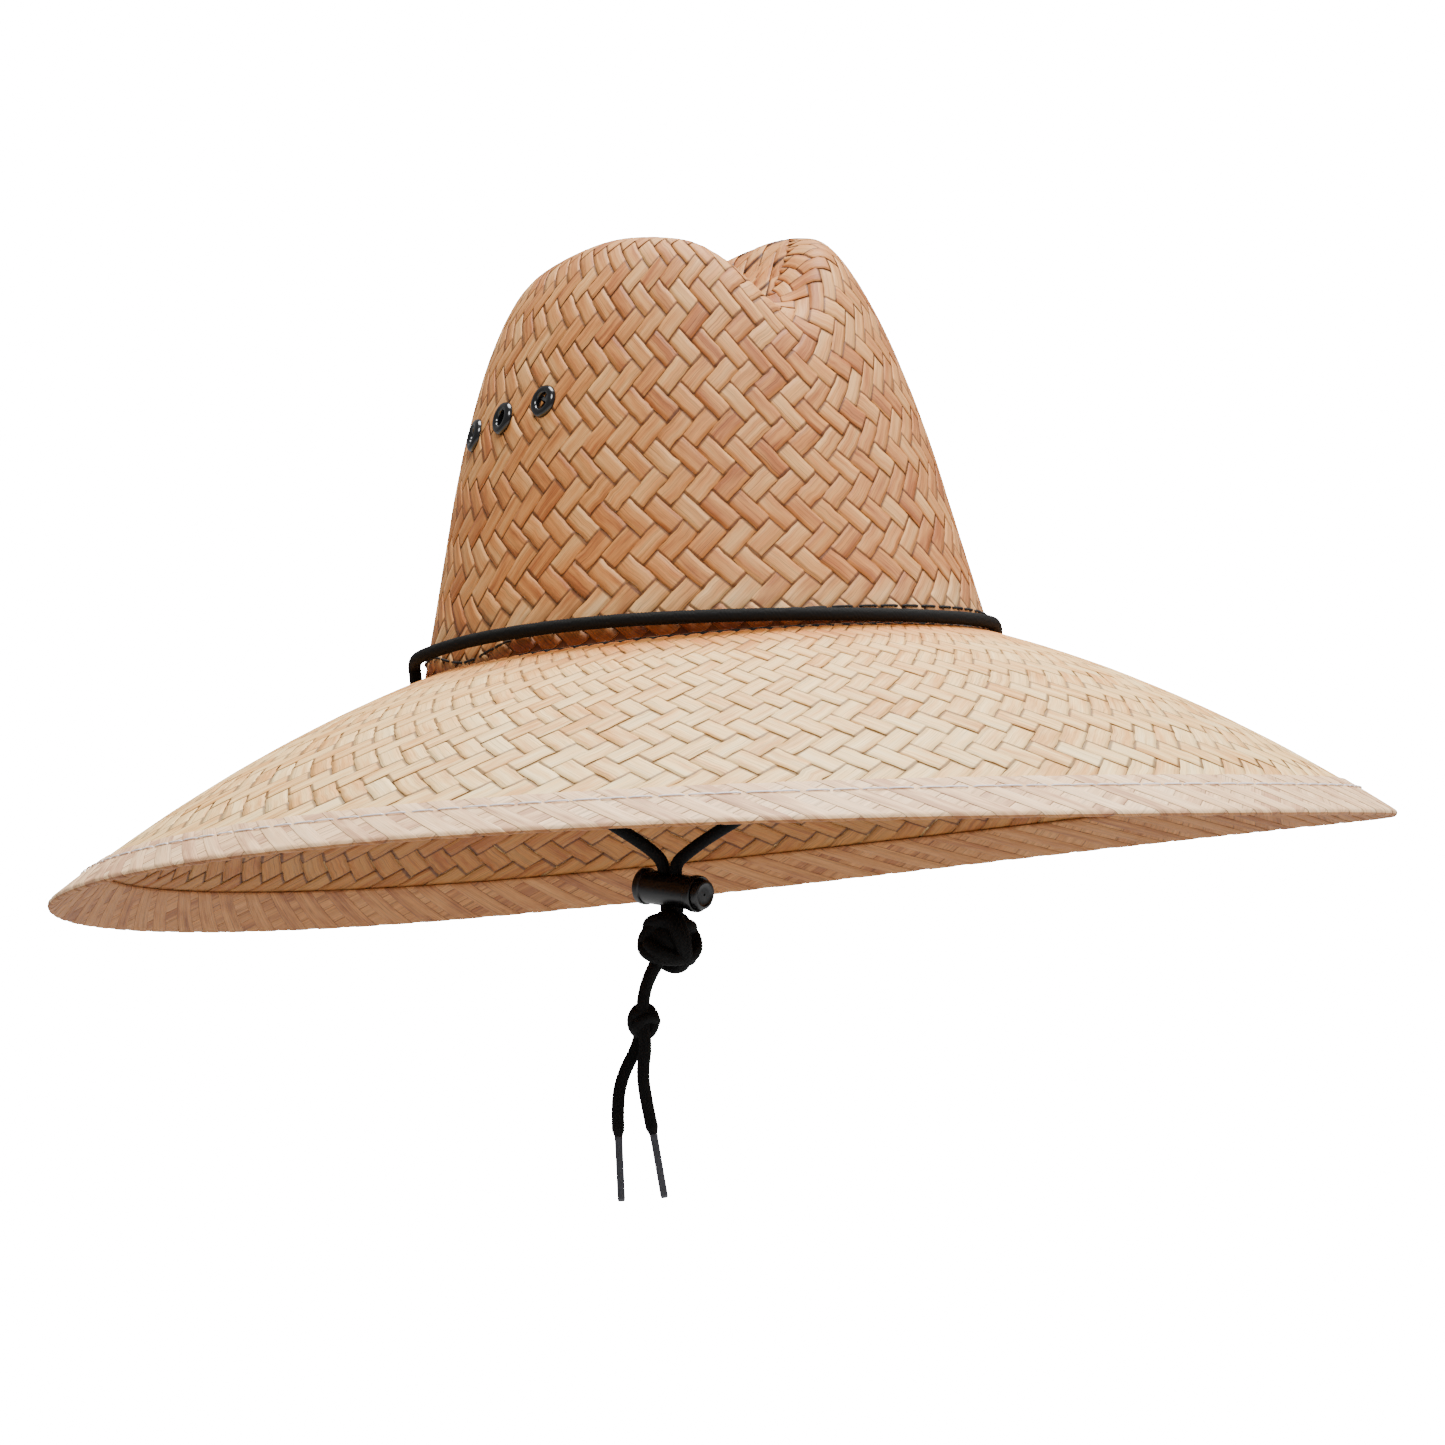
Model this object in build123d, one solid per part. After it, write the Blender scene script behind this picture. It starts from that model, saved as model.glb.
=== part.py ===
from build123d import *
import os
from math import atan2, cos, exp, pi, radians, sin, sqrt, tan

# Wide-brimmed woven palm hat with a pinched crown and a chin cord, in millimetres.
# +Z up, front of the hat towards -Y, wearer's right towards -X. The origin is the
# centre of the head opening, on the line where the crown meets the brim.

# crown
crown_half_x = 89.0         # outer half width at the head opening
crown_half_y = 106.0        # outer half length at the head opening
crown_height = 141.0        # top of the two humps before rounding
crown_lean = 13.2           # degrees that the wall leans inwards
crown_bow = 14.0            # extra inward curve of the wall at crown_bow_top
crown_bow_start, crown_bow_top = 55.0, 150.0
crown_wall = 1.8            # thickness of the plaited palm
shoulder_x, shoulder_y = 63.0, 98.0
shoulder_power = 2.4
shoulder_drop = 36.0        # fall of the top at the shoulder line
shoulder_round = 4.0        # higher is flatter on top and squarer at the shoulder
back_drop = 6.0             # the back of the crown is lower than the front
crease_depth = 27.0
crease_half_width = 18.0
crease_back_y = 45.0        # the crease runs out here, towards the back
pinch_depth = 12.0          # dents beside the front of the crease

# brim
rim_half_x, rim_half_y = 220.0, 230.0
brim_wall = 1.8
brim_fall, brim_curve = 41.6, 25.0      # straight and curved shares of the drop
rim_saddle = 4.35           # the rim rises at the sides and dips front and back
rim_saddle_turn = 37.5      # degrees
rim_tilt = 2.0              # the rim also rises towards the back left
rim_tilt_turn = 25.0
hem_depth = 16.0            # folded edge, measured in plan
hem_thickness = 1.0

# stitching, sweatband, eyelets
thread_radius = 0.45
thread_clear = 0.12         # a stitch lies this far off the crown
brim_thread_clear = 1.4     # and this far off the hem, whose face is less even
brim_stitch_inset = 11.0
brim_stitch_count = 72
brim_stitch_length = 9.0
band_height = 26.0
band_thickness = 1.2
band_gap = 0.3
band_stitch_height = 5.2
band_stitch_count = 64
band_stitch_length = 5.5
eyelet_places = ((-22.0, 83.0), (0.5, 80.5), (24.0, 78.0))     # y and z of each eyelet
eyelet_hole_radius = 2.7
eyelet_flange_radius = 5.4
eyelet_flange_height = 1.2
eyelet_barrel_radius = 3.2
eyelet_wall_gap = 0.3
washer_radius = 5.0
washer_thickness = 0.6

# chin cord and its fittings, placed by distance across the hat and height
chin_turn = -30.0           # the two cord holes lie on a line turned this far from X
cord_radius = 2.1
cord_gap = 1.5              # between the cord and the crown it passes round
hole_radius = 2.7
hole_across = 96.5
lock_length = 25.0
lock_radius = 6.2
lock_wall = 1.0
lock_yaw, lock_tip = 40.0, 11.8         # degrees: barrel axis turned forwards, nose down
lock_across, lock_height = -16.9, -75.9
button_gap = 0.15
button_stand = 2.4          # how far the button stands out of the barrel
button_travel = 1.8
button_depth = 19.9         # from the barrel's mouth to the button's inner end
slot_length, slot_width = 9.6, 5.2       # the cords pass side by side along the barrel
spring_wire = 0.25
spring_turns = 3
knot_half = (10.3, 9.6, 10.2)           # across, towards the front, up
knot_place = (-18.5, -93.5)
end_knot_half = (4.6, 4.4, 6.0)
end_knot_place = (-29.2, -118.6)
aglet_radius = 1.15
aglet_length = 21.0

# routes: across, height, forwards
strand_right_route = [(96.5, -4.6, 0), (96.5, -8.4, 0), (93.2, -12.8, 0), (84.6, -17.6, 0),
                      (68.0, -25.6, 0), (40.0, -38.2, 0), (13.0, -51.0, 0.2), (-3.0, -59.2, 0.5),
                      (-10.9, -64.2, 1.0), (-15.1, -67.6, 1.5), (-15.1, -71.4, 1.5)]
strand_left_route = [(-96.5, -4.6, 0), (-96.5, -8.6, 0), (-92.8, -13.2, 0), (-83.2, -19.2, 0),
                     (-67.5, -29.9, 0), (-44.5, -45.9, 0), (-29.6, -56.6, -0.4), (-22.0, -62.6, -1.0),
                     (-18.7, -66.9, -1.5), (-18.7, -71.4, -1.5)]
end_right_route = [(-15.1, -71.5, 1.5), (-15.1, -79.5, 1.5), (-15.7, -86.0, 1.7), (-18.0, -92.4, 2.1),
                   (-22.6, -99.2, 2.3), (-26.9, -105.6, 2.4), (-29.0, -112.2, 2.4), (-29.4, -119.3, 2.3),
                   (-28.9, -127.2, 2.2), (-30.8, -136.0, 1.6), (-29.9, -146.6, 1.0), (-28.4, -156.6, 0.8)]
end_left_route = [(-18.7, -71.5, -1.5), (-18.7, -79.5, -1.5), (-18.9, -86.0, -1.8), (-20.1, -92.4, -2.2),
                  (-23.6, -99.2, -2.4), (-27.1, -105.6, -2.4), (-29.0, -112.2, -2.4), (-29.6, -119.3, -2.4),
                  (-31.9, -127.2, -2.2), (-36.9, -135.0, -1.6), (-39.9, -144.6, -1.0), (-40.1, -156.6, -0.8)]
aglet_right_end = (-26.3, -177.3, 0.6)
aglet_left_end = (-40.6, -177.6, -0.6)
band_right_rise = [(96.5, -4.5), (96.5, 0.4), (96.9, 4.3)]
band_left_rise = [(-96.9, 5.3), (-96.5, 0.8), (-96.5, -4.5)]
# angle round the crown and height
band_ring = [(-53, 3.8), (-76, 4.1), (-99, 4.8), (-122, 5.7), (-146, 6.8), (-171, 7.2), (165, 6.7)]


def smooth(edge0, edge1, value):
    t = min(1.0, max(0.0, (value - edge0) / (edge1 - edge0)))
    return t * t * (3 - 2 * t)


def crown_top(x, y, lower=0.0):
    """Height of the creased crown top over a point of the plan."""
    rho = ((abs(x) / shoulder_x) ** shoulder_power + (abs(y + 2) / shoulder_y) ** shoulder_power)
    z = crown_height - shoulder_drop * min(rho ** (1 / shoulder_power), 1.25) ** shoulder_round
    z -= back_drop * smooth(-30, 80, y)
    z -= crease_depth * smooth(crease_back_y + 20, crease_back_y - 35, y) * exp(-(x / crease_half_width) ** 2)
    z -= pinch_depth * smooth(-10, -75, y) * smooth(18, 55, abs(x))
    return z - lower


def top_face(lower):
    """The crown top as one smooth face, wider than the crown."""
    reach_x, reach_y = crown_half_x + 12, crown_half_y + 12
    count_x, count_y = 27, 27
    rows = []
    for i in range(count_x):
        x = -reach_x + 2 * reach_x * i / (count_x - 1)
        rows.append([Vector(x, y, crown_top(x, y, lower))
                     for y in (-reach_y + 2 * reach_y * j / (count_y - 1) for j in range(count_y))])
    return Face.make_surface_from_array_of_points(rows, tol=0.1, smoothing=(1, 1, 1), min_deg=1, max_deg=5)


def oval(half_x, half_y, z):
    return Plane.XY.offset(z) * Ellipse(half_x, half_y)


def wall_inset(z):
    """How far the crown wall has come in at a height."""
    bow = max(0.0, z - crown_bow_start) / (crown_bow_top - crown_bow_start)
    return tan(radians(crown_lean)) * z + crown_bow * bow ** 2


def leaning_cone(shrink, low, high):
    """Oval cone of the crown wall; shrink moves it inwards."""
    heights = [low] + [z for z in (55, 75, 95, 115, 135) if low < z < high] + [high]
    faces = [oval(crown_half_x - shrink - wall_inset(z), crown_half_y - shrink - wall_inset(z), z).face()
             for z in heights]
    return loft(faces, ruled=True)


def crown_block(shrink, lower, low):
    under_top = extrude(top_face(lower), amount=240, dir=(0, 0, -1))
    return leaning_cone(shrink, low, crown_height + 8) & under_top


def brim_share(x, y):
    """0 at the head opening, 1 at the rim, for a point of the plan."""
    low, high = -0.6, 1.4
    for halving in range(40):
        s = (low + high) / 2
        half_x = crown_half_x + (rim_half_x - crown_half_x) * s
        half_y = crown_half_y + (rim_half_y - crown_half_y) * s
        if (x / half_x) ** 2 + (y / half_y) ** 2 > 1:
            low = s
        else:
            high = s
    return (low + high) / 2


def brim_height(x, y, s=None):
    if s is None:
        s = brim_share(x, y)
    half_x = crown_half_x + (rim_half_x - crown_half_x) * s
    half_y = crown_half_y + (rim_half_y - crown_half_y) * s
    angle = atan2(y / half_y, x / half_x)
    wave = rim_saddle * max(s, 0) ** 2 * cos(2 * angle - radians(rim_saddle_turn))
    wave += rim_tilt * max(s, 0) ** 2 * sin(angle + radians(rim_tilt_turn))
    return -(brim_fall * s + brim_curve * s * abs(s)) + wave


def brim_face(lift):
    """The brim's top as one smooth face over its plan."""
    reach_x, reach_y = rim_half_x + 14, rim_half_y + 14
    count = 33
    rows = []
    for i in range(count):
        x = -reach_x + 2 * reach_x * i / (count - 1)
        row = []
        for j in range(count):
            y = -reach_y + 2 * reach_y * j / (count - 1)
            # inside the crown the face is a shallow bowl turned over, so it stays smooth
            s = max(brim_share(x, y), -0.35)
            row.append(Vector(x, y, brim_height(x, y, s) + lift))
        rows.append(row)
    return Face.make_surface_from_array_of_points(rows, tol=0.1, smoothing=(1, 1, 1), min_deg=1, max_deg=5)


def oval_column(half_x, half_y):
    return extrude(oval(half_x, half_y, -150), amount=300)


def brim_layer(lift, thickness, outer, inner):
    slab = extrude(brim_face(lift), amount=thickness, dir=(0, 0, -1))
    return slab & (oval_column(*outer) - oval_column(*inner))


def chin_point(across, height, forwards=0.0):
    turn = radians(chin_turn)
    return Vector(across * cos(turn) + forwards * sin(turn), across * sin(turn) - forwards * cos(turn), height)


def tube(name, points, radius):
    """A cord: straight runs joined by arcs as large as their runs allow."""
    points = [Vector(*p) for p in points]
    radii = []
    for a, b, c in zip(points, points[1:], points[2:]):
        turn = radians((b - a).get_angle(c - b))
        radii.append(0.45 * min((b - a).length, (c - b).length) / tan(turn / 2))
    path = FilletPolyline(*points, radius=radii)
    section = Plane(path @ 0, z_dir=path % 0) * Circle(radius)
    body = sweep(section, path=path)
    ratio = body.volume / (pi * radius ** 2 * path.length)
    print(f"{name}: length {path.length:.1f} mm, radii {[round(r, 1) for r in radii]}, volume ratio {ratio:.4f}")
    return body


def wall_frame(y, z, side, depth=0.0):
    """A plane on the crown's side wall with its Z outwards; depth moves it inwards."""
    lean = wall_inset(z + 0.5) - wall_inset(z - 0.5)
    half_x, half_y = crown_half_x - wall_inset(z), crown_half_y - wall_inset(z)
    x = side * half_x * sqrt(1 - (y / half_y) ** 2)
    normal = Vector(x / half_x ** 2, y / half_y ** 2, 0).normalized()
    normal = (normal + Vector(0, 0, lean)).normalized()
    return Plane(Vector(x, y, z) - normal * depth, z_dir=normal)


def stitch(start, end):
    middle = (start + end) / 2
    length = (end - start).length
    return Plane(middle - (end - start) / 2, z_dir=end - start) * Cylinder(
        thread_radius, length, align=(Align.CENTER, Align.CENTER, Align.MIN))


# crown and brim
crown_lip = -2.0            # the crown's edge is tucked into the brim's opening
crown = crown_block(0, 0, crown_lip) - crown_block(crown_wall, crown_wall, crown_lip - 3)
for side in (-1, 1):
    for y, z in eyelet_places:
        crown -= wall_frame(y, z, side, 8) * Cylinder(
            eyelet_barrel_radius + 0.15, 16, align=(Align.CENTER, Align.CENTER, Align.MIN))

opening = (crown_half_x + 0.6, crown_half_y + 0.6)
rim = (rim_half_x, rim_half_y)
brim = brim_layer(0, brim_wall, rim, opening)
for side in (-1, 1):
    brim -= Pos(*chin_point(side * hole_across, 0)) * Cylinder(hole_radius, 40)

hem_outer = (rim_half_x + hem_thickness, rim_half_y + hem_thickness)
hem_inner = (rim_half_x - hem_depth, rim_half_y - hem_depth)
hem = brim_layer(hem_thickness, brim_wall + 2 * hem_thickness, hem_outer, hem_inner)
hem -= brim_layer(0.03, brim_wall + 0.06, (rim_half_x + 0.03, rim_half_y + 0.03), (20, 20))

# rows of stitches
brim_stitches = []
stitch_x, stitch_y = rim_half_x - brim_stitch_inset, rim_half_y - brim_stitch_inset
for i in range(brim_stitch_count):
    ends = []
    for half in (-0.5, 0.5):
        angle = 2 * pi * i / brim_stitch_count + half * brim_stitch_length / stitch_x
        x, y = stitch_x * cos(angle), stitch_y * sin(angle)
        ends.append(Vector(x, y, brim_height(x, y) + hem_thickness + thread_radius + brim_thread_clear))
    brim_stitches.append(stitch(*ends))

band_stitches = []
for i in range(band_stitch_count):
    ends = []
    for half in (-0.5, 0.5):
        angle = 2 * pi * i / band_stitch_count + half * band_stitch_length / crown_half_y
        out = thread_radius + thread_clear - wall_inset(band_stitch_height)
        ends.append(Vector((crown_half_x + out) * cos(angle), (crown_half_y + out) * sin(angle),
                           band_stitch_height))
    band_stitches.append(stitch(*ends))

band_shrink = crown_wall + band_gap
sweatband = leaning_cone(band_shrink, 0.5, band_height)
sweatband -= leaning_cone(band_shrink + band_thickness, -4, band_height + 4)

# eyelets and their washers
flange = revolve(Plane.XZ * (Pos((eyelet_hole_radius + eyelet_flange_radius) / 2, eyelet_wall_gap)
                             * RectangleRounded(eyelet_flange_radius - eyelet_hole_radius,
                                                2 * eyelet_flange_height, 0.8)), axis=Axis.Z)
flange -= Pos(0, 0, eyelet_wall_gap) * Cylinder(8, 4, align=(Align.CENTER, Align.CENTER, Align.MAX))
barrel_length = crown_wall + 1.4
barrel = Cylinder(eyelet_barrel_radius, barrel_length, align=(Align.CENTER, Align.CENTER, Align.MAX))
barrel -= Cylinder(eyelet_hole_radius, 3 * barrel_length)
eyelet = flange + Pos(0, 0, eyelet_wall_gap + 0.2) * barrel
washer = Cylinder(washer_radius, washer_thickness) - Cylinder(eyelet_barrel_radius + 0.05, 2)
eyelets = {1: [], -1: []}
washers = {1: [], -1: []}
for side in (-1, 1):
    for y, z in eyelet_places:
        eyelets[side].append(wall_frame(y, z, side) * eyelet)
        washers[side].append(wall_frame(y, z, side, crown_wall + 0.75) * washer)

# cord over the front of the crown, in through both brim holes
band_route = [chin_point(*p) for p in band_right_rise]
ring_x = crown_half_x + cord_radius + cord_gap + 1.9
ring_y = crown_half_y + cord_radius + cord_gap + 1.9
for angle, height in band_ring:
    band_route.append(Vector(ring_x * cos(radians(angle)), ring_y * sin(radians(angle)), height))
band_route += [chin_point(*p) for p in band_left_rise]
chin_cord_band = tube("chin_cord_band", band_route, cord_radius)
strand_right = tube("chin_strand_right", [chin_point(*p) for p in strand_right_route], cord_radius)
strand_left = tube("chin_strand_left", [chin_point(*p) for p in strand_left_route], cord_radius)
end_right = tube("cord_end_right", [chin_point(*p) for p in end_right_route], cord_radius)
end_left = tube("cord_end_left", [chin_point(*p) for p in end_left_route], cord_radius)

# cord lock: barrel, sprung button and its spring
yaw, tip = radians(lock_yaw), radians(lock_tip)
lock_centre = chin_point(lock_across, lock_height)
lock_nose = chin_point(cos(tip) * cos(yaw), -sin(tip), cos(tip) * sin(yaw))
lock_frame = Plane(lock_centre, z_dir=lock_nose)
slot_turn = Rot(0, 0, chin_turn - lock_yaw)
slot = Pos(*lock_centre) * slot_turn * Box(slot_length, slot_width, 40)
mouth = lock_length / 2
inner_radius = lock_radius - lock_wall
housing = Cylinder(lock_radius, lock_length)
housing = fillet(housing.edges(), 0.5)
housing -= Pos(0, 0, lock_wall) * Cylinder(inner_radius, lock_length)
housing = lock_frame * housing - slot
button_low = mouth - button_depth
button = Pos(0, 0, button_low) * Cylinder(inner_radius - button_gap, button_depth + button_stand,
                                          align=(Align.CENTER, Align.CENTER, Align.MIN))
button = fillet(button.edges().group_by(Axis.Z)[-1], 0.9)
long_slot = Pos(*lock_centre) * slot_turn * Pos(button_travel / 2, 0, 0)
long_slot *= Box(slot_length + button_travel, slot_width, 40)
button = lock_frame * button - long_slot
spring_low = -mouth + lock_wall + 0.1
spring_length = button_low - spring_low - 0.1
spring_radius = inner_radius - 1.4
coil = Helix(pitch=(spring_length - 2 * spring_wire) / spring_turns, height=spring_length - 2 * spring_wire,
             radius=spring_radius)
spring = sweep(Plane(coil @ 0, z_dir=coil % 0) * Circle(spring_wire), path=coil)
spring = lock_frame * (Pos(0, 0, spring_low + spring_wire) * spring)


def knot(half, across, height):
    """An oval knot, as wide as given across, forwards and up."""
    ball = scale(Sphere(1), by=half)
    return Pos(*chin_point(across, height)) * Rot(0, 0, chin_turn) * ball


def aglet(start, end):
    a, b = chin_point(*start), chin_point(*end)
    rod = Cylinder(aglet_radius, aglet_length, align=(Align.CENTER, Align.CENTER, Align.MIN))
    return Plane(a, z_dir=b - a) * chamfer(rod.edges(), 0.2)


stopper_knot = knot(knot_half, *knot_place)
end_knot = knot(end_knot_half, *end_knot_place)

parts = {
    "crown_shell": crown,
    "brim_shell": brim,
    "brim_edge_hem": hem,
    "brim_hem_stitching": Compound(children=brim_stitches),
    "sweatband": sweatband,
    "sweatband_stitching": Compound(children=band_stitches),
    "eyelets_right": Compound(children=eyelets[-1]),
    "eyelets_left": Compound(children=eyelets[1]),
    "eyelet_washers_right": Compound(children=washers[-1]),
    "eyelet_washers_left": Compound(children=washers[1]),
    "chin_cord_band": chin_cord_band,
    "chin_strand_right": strand_right,
    "chin_strand_left": strand_left,
    "lock_housing": housing,
    "lock_button": button,
    "lock_spring": spring,
    "stopper_knot": stopper_knot,
    "cord_end_right": end_right,
    "cord_end_left": end_left,
    "end_knot": end_knot,
    "aglet_right": aglet(end_right_route[-1], aglet_right_end),
    "aglet_left": aglet(end_left_route[-1], aglet_left_end),
}

os.makedirs("parts", exist_ok=True)
for node, shape in parts.items():
    export_step(shape, f"parts/{node}.step")
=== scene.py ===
import math
import random
import bmesh
import bpy
import numpy as np
from mathutils import Matrix, Vector


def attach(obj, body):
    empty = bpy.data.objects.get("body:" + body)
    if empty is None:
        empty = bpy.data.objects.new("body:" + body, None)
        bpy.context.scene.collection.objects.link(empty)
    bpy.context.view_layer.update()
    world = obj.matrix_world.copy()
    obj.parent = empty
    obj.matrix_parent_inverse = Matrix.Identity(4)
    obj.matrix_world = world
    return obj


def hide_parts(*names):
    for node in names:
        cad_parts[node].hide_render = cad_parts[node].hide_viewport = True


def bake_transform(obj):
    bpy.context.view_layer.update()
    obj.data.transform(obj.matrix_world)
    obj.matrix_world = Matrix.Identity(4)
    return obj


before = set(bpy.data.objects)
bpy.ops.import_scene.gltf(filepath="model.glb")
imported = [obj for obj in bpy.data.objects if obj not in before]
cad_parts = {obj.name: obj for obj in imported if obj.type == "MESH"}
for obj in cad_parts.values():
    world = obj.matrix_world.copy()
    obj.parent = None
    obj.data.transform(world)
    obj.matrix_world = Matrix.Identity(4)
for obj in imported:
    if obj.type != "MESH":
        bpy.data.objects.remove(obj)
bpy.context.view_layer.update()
mm = 0.001
print("frame loaded")

# small helpers


def rgb(hexCode):
    # sRGB hex to the linear colour that the shader wants
    parts = [int(hexCode[i:i + 2], 16) / 255 for i in (1, 3, 5)]
    return [c / 12.92 if c <= 0.04045 else ((c + 0.055) / 1.055) ** 2.4 for c in parts] + [1.0]


def addNode(tree, kind, settings=None, links=None):
    # settings by attribute or input name, links from (node, output) to an input name or number
    node = tree.nodes.new(kind)
    for key, value in (settings or {}).items():
        if isinstance(key, str) and hasattr(node, key) and key not in node.inputs:
            setattr(node, key, value)
        else:
            node.inputs[key].default_value = value
    for key, (source, output) in (links or {}).items():
        tree.links.new(source.outputs[output], node.inputs[key])
    return node


def newMaterial(name):
    material = bpy.data.materials.new(name)
    material.use_nodes = True
    tree = material.node_tree
    return material, tree, tree.nodes["Principled BSDF"]


def setRamp(node, stops):
    elements = node.color_ramp.elements
    while len(elements) < len(stops):
        elements.new(0.5)
    for element, (place, colour) in zip(elements, stops):
        element.position = place
        element.color = rgb(colour) if isinstance(colour, str) else [colour] * 3 + [1]


def meshPiece(name, points, faces, material, uv=None, tint=None):
    mesh = bpy.data.meshes.new(name)
    mesh.from_pydata([tuple(p) for p in points], [], [tuple(f) for f in faces])
    if uv is not None:
        layer = mesh.uv_layers.new(name="strip")
        corners = np.empty(len(mesh.loops), dtype=np.int32)
        mesh.loops.foreach_get("vertex_index", corners)
        layer.data.foreach_set("uv", np.asarray(uv, dtype=np.float32)[corners].ravel())
    if tint is not None:
        layer = mesh.color_attributes.new("tint", "FLOAT_COLOR", "POINT")
        layer.data.foreach_set("color", np.asarray(tint, dtype=np.float32).ravel())
    mesh.shade_smooth()
    mesh.materials.append(material)
    piece = bpy.data.objects.new(name, mesh)
    bpy.context.scene.collection.objects.link(piece)
    return piece


def dress(piece, body, replaced=()):
    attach(piece, body)
    if replaced:
        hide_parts(*replaced)


# camera at the hat's three-quarter front, a little below the brim
cameraSet = {"turn": -30.0, "rise": -4.37, "roll": 4.1, "distance": 2.6, "lens": 195.1,
             "hatAcross": -0.00237, "hatUp": 0.01162, "originLift": 0.009}


def makeCamera():
    turn, rise, roll = (math.radians(cameraSet[k]) for k in ("turn", "rise", "roll"))
    back = Vector((math.sin(turn) * math.cos(rise), -math.cos(turn) * math.cos(rise), math.sin(rise)))
    right = Vector((math.cos(turn), math.sin(turn), 0))
    up = back.cross(right)
    across = cameraSet["hatAcross"] * math.cos(roll) + cameraSet["hatUp"] * math.sin(roll)
    above = -cameraSet["hatAcross"] * math.sin(roll) + cameraSet["hatUp"] * math.cos(roll)
    eye = (back - right * across - up * above) * cameraSet["distance"]
    eye.z += cameraSet["originLift"]
    data = bpy.data.cameras.new("camera")
    data.lens = cameraSet["lens"]
    data.sensor_width = 36
    camera = bpy.data.objects.new("camera", data)
    bpy.context.scene.collection.objects.link(camera)
    camRight = right * math.cos(roll) - up * math.sin(roll)
    camUp = right * math.sin(roll) + up * math.cos(roll)
    turned = Matrix((camRight, camUp, back)).transposed().to_4x4()
    turned.translation = eye
    camera.matrix_world = turned
    bpy.context.scene.camera = camera


makeCamera()
print("camera placed")

# the hat's own shape, in mm, as smooth surfaces that the strips follow
crownShape = {"halfX": 89.0, "halfY": 106.0, "lean": math.tan(math.radians(13.2)), "height": 141.0,
              "shoulderX": 63.0, "shoulderY": 98.0, "power": 2.4, "drop": 36.0, "backDrop": 6.0,
              "crease": 27.0, "creaseWidth": 18.0, "creaseBack": 45.0, "pinch": 12.0, "soft": 8.0,
              "round": 4.0, "bow": 14.0, "bowStart": 55.0, "bowTop": 150.0}
brimShape = {"rimX": 220.0, "rimY": 230.0, "fall": 41.6, "curve": 25.0, "saddle": 4.35,
             "saddleTurn": math.radians(37.5), "tilt": 2.0, "tiltTurn": math.radians(25.0), "wall": 1.8}


def ease(low, high, value):
    t = np.clip((value - low) / (high - low), 0, 1)
    return t * t * (3 - 2 * t)


def crownTop(x, y):
    c = crownShape
    rho = ((np.abs(x) / c["shoulderX"]) ** c["power"] + (np.abs(y + 2) / c["shoulderY"]) ** c["power"])
    z = c["height"] - c["drop"] * np.minimum(rho ** (1 / c["power"]), 1.6) ** c["round"]
    z = z - c["backDrop"] * ease(-30, 80, y)
    run = ease(c["creaseBack"] + 20, c["creaseBack"] - 35, y)
    z = z - c["crease"] * run * np.exp(-(x / c["creaseWidth"]) ** 2)
    return z - c["pinch"] * ease(-10, -75, y) * ease(18, 55, np.abs(x))


def crownAt(theta, rho):
    # the wall and the creased top joined by a soft shoulder
    # rho is 1 at the base and falls towards the middle
    c = crownShape
    inset = (c["halfX"] + c["halfY"]) / 2 * (1 - rho)
    x, y = (c["halfX"] - inset) * np.cos(theta), (c["halfY"] - inset) * np.sin(theta)
    heights = np.linspace(0, 400, 800)
    bow = np.maximum(heights - c["bowStart"], 0) / (c["bowTop"] - c["bowStart"])
    insets = c["lean"] * heights + c["bow"] * bow ** 2
    wall = np.interp(inset, insets, heights)
    top = crownTop(x, y)
    k = c["soft"]
    m = np.clip(0.5 + 0.25 * (wall - top) / k, 0, 1)
    return np.stack([x, y, wall * (1 - m) + top * m - 2 * k * m * (1 - m)], -1)


def brimAt(theta, share):
    c, b = crownShape, brimShape
    x = (c["halfX"] + (b["rimX"] - c["halfX"]) * share) * np.cos(theta)
    y = (c["halfY"] + (b["rimY"] - c["halfY"]) * share) * np.sin(theta)
    z = -(b["fall"] * share + b["curve"] * share * np.abs(share))
    z = z + b["saddle"] * np.maximum(share, 0) ** 2 * np.cos(2 * theta - b["saddleTurn"])
    z = z + b["tilt"] * np.maximum(share, 0) ** 2 * np.sin(theta + b["tiltTurn"])
    return np.stack([x, y, z], -1)


class Skin:
    # a closed band of surface read by turn (0 to 1) and by share of its length (0 to 1)
    def __init__(self, surface, start, end, turns=360, steps=400):
        theta = np.linspace(0, 2 * np.pi, turns + 1)
        fine = np.linspace(start, end, 4 * steps)
        grid = surface(theta[:, None], fine[None, :])
        run = np.linalg.norm(np.diff(grid, axis=1), axis=2)
        along = np.concatenate([np.zeros((turns + 1, 1)), np.cumsum(run, axis=1)], axis=1)
        share = np.linspace(0, 1, steps)
        self.points = np.empty((turns + 1, steps, 3))
        for i in range(turns + 1):
            for axis in range(3):
                self.points[i, :, axis] = np.interp(share * along[i, -1], along[i], grid[i, :, axis])
        self.length = along[:, -1].mean()
        du = np.roll(self.points[:-1], -1, 0) - np.roll(self.points[:-1], 1, 0)
        du = np.concatenate([du, du[:1]], 0)
        dv = np.gradient(self.points, axis=1)
        normal = np.cross(du, dv)
        self.normals = normal / np.linalg.norm(normal, axis=2, keepdims=True)
        self.turns, self.steps = turns, steps

    def read(self, turn, share):
        u = (turn % 1) * self.turns
        v = np.clip(share, 0, 1) * (self.steps - 1)
        i, j = np.minimum(u.astype(int), self.turns - 1), np.minimum(v.astype(int), self.steps - 2)
        fu, fv = (u - i)[..., None], (v - j)[..., None]
        out = []
        for table in (self.points, self.normals):
            low = table[i, j] * (1 - fv) + table[i, j + 1] * fv
            high = table[i + 1, j] * (1 - fv) + table[i + 1, j + 1] * fv
            out.append(low * (1 - fu) + high * fu)
        return out


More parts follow.
